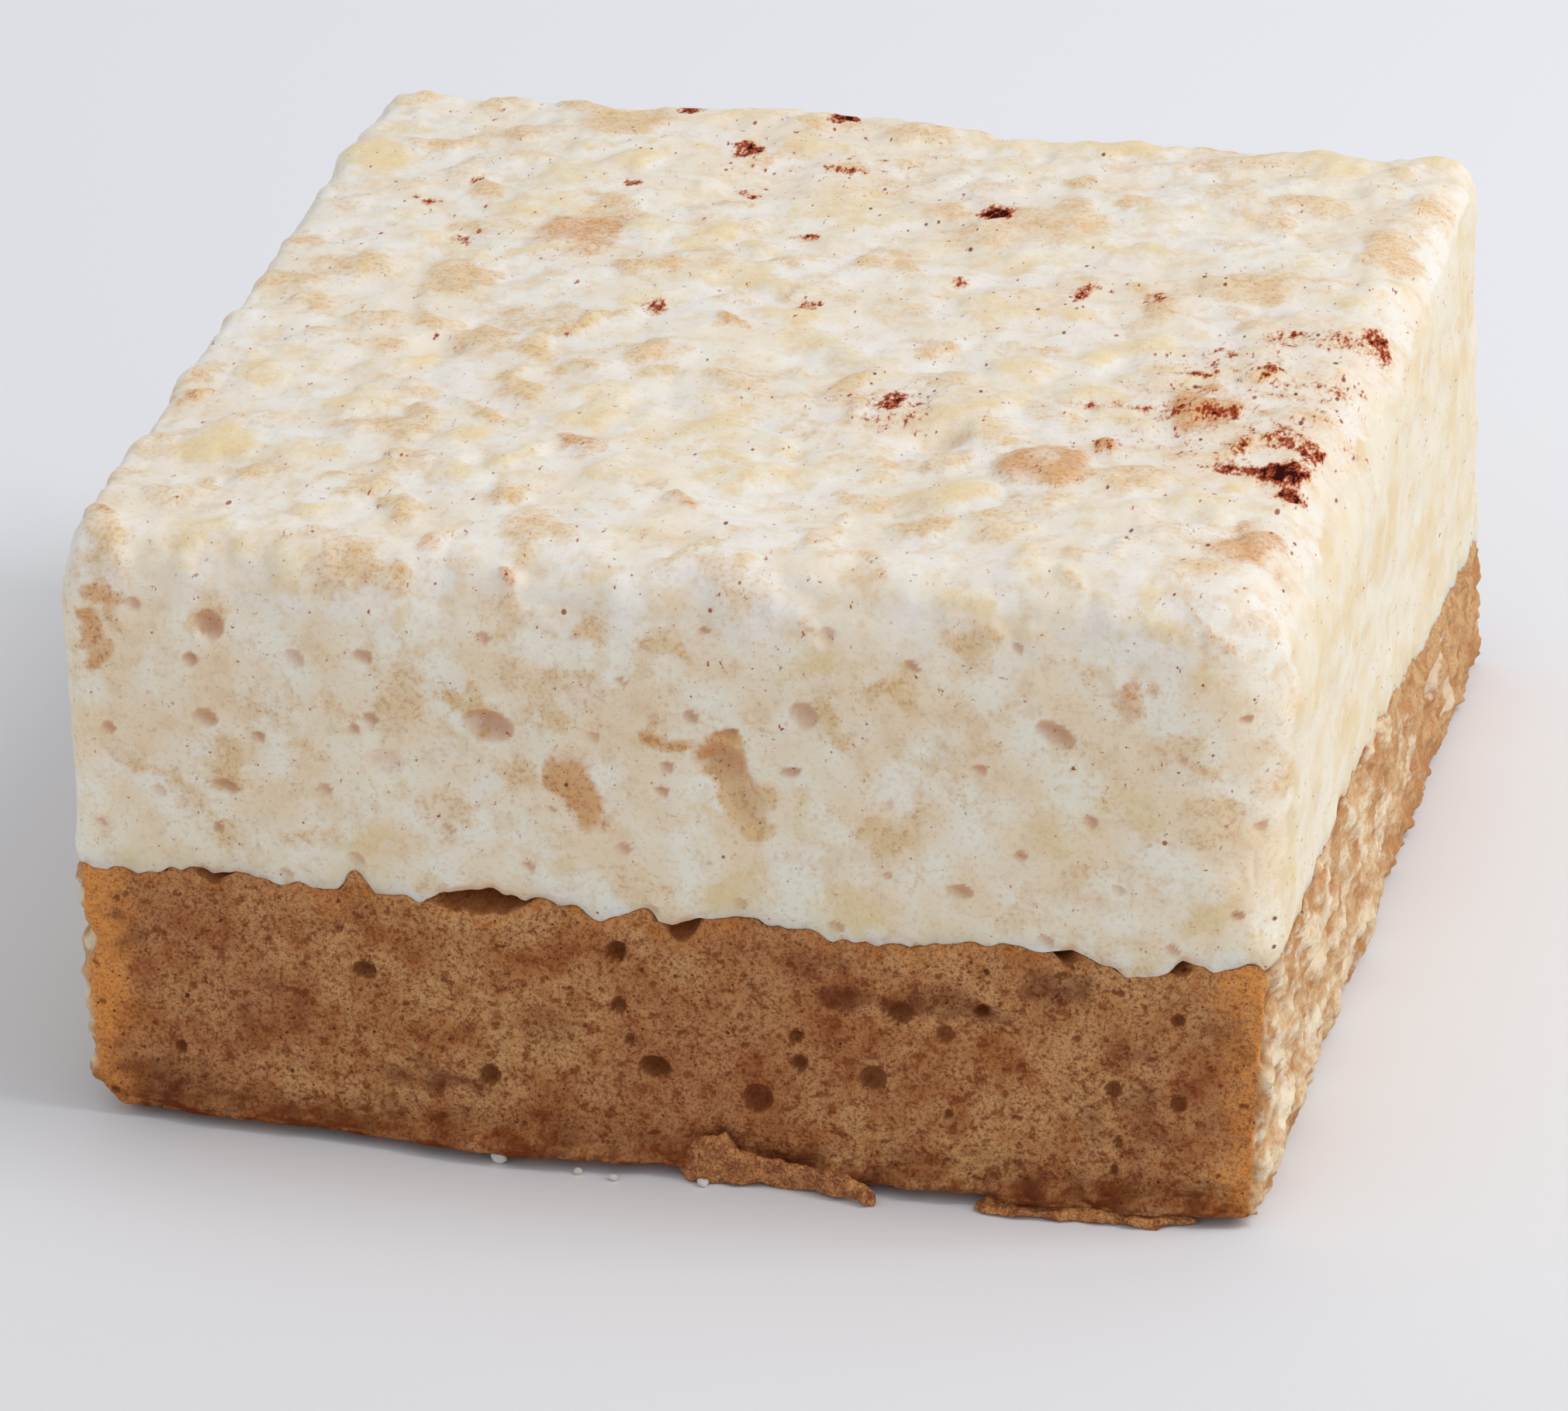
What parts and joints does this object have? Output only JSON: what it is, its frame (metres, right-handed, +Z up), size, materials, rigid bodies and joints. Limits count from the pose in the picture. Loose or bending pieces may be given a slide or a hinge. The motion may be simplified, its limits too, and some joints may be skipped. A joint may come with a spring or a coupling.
{
  "type": "puffed rice marshmallow square",
  "caption": "Square-cut sweet bar: a thick pale marshmallow and puffed rice layer with a soft bumpy top, on a dense spice cake base with a thin crumbly crust",
  "frame": {"origin": "middle of the underside of the whole square, on the surface it stands on", "axes": "+Z up, -Y is the front that the picture shows most of, +X to the right along that front"},
  "size_m": [0.079, 0.0844, 0.04],
  "materials": {
    "marshmallow": "pale cream marshmallow, satin, with tan puffed rice grains under its skin and a few dark spice specks",
    "spice_cake": "matt brown fine-crumbed spice cake with small open bubbles and a thin darker crust at its foot"
  },
  "bodies": {
    "root": {"marshmallow_rice_layer": "marshmallow", "spice_cake_base": "spice_cake"}
  },
  "joints": []
}
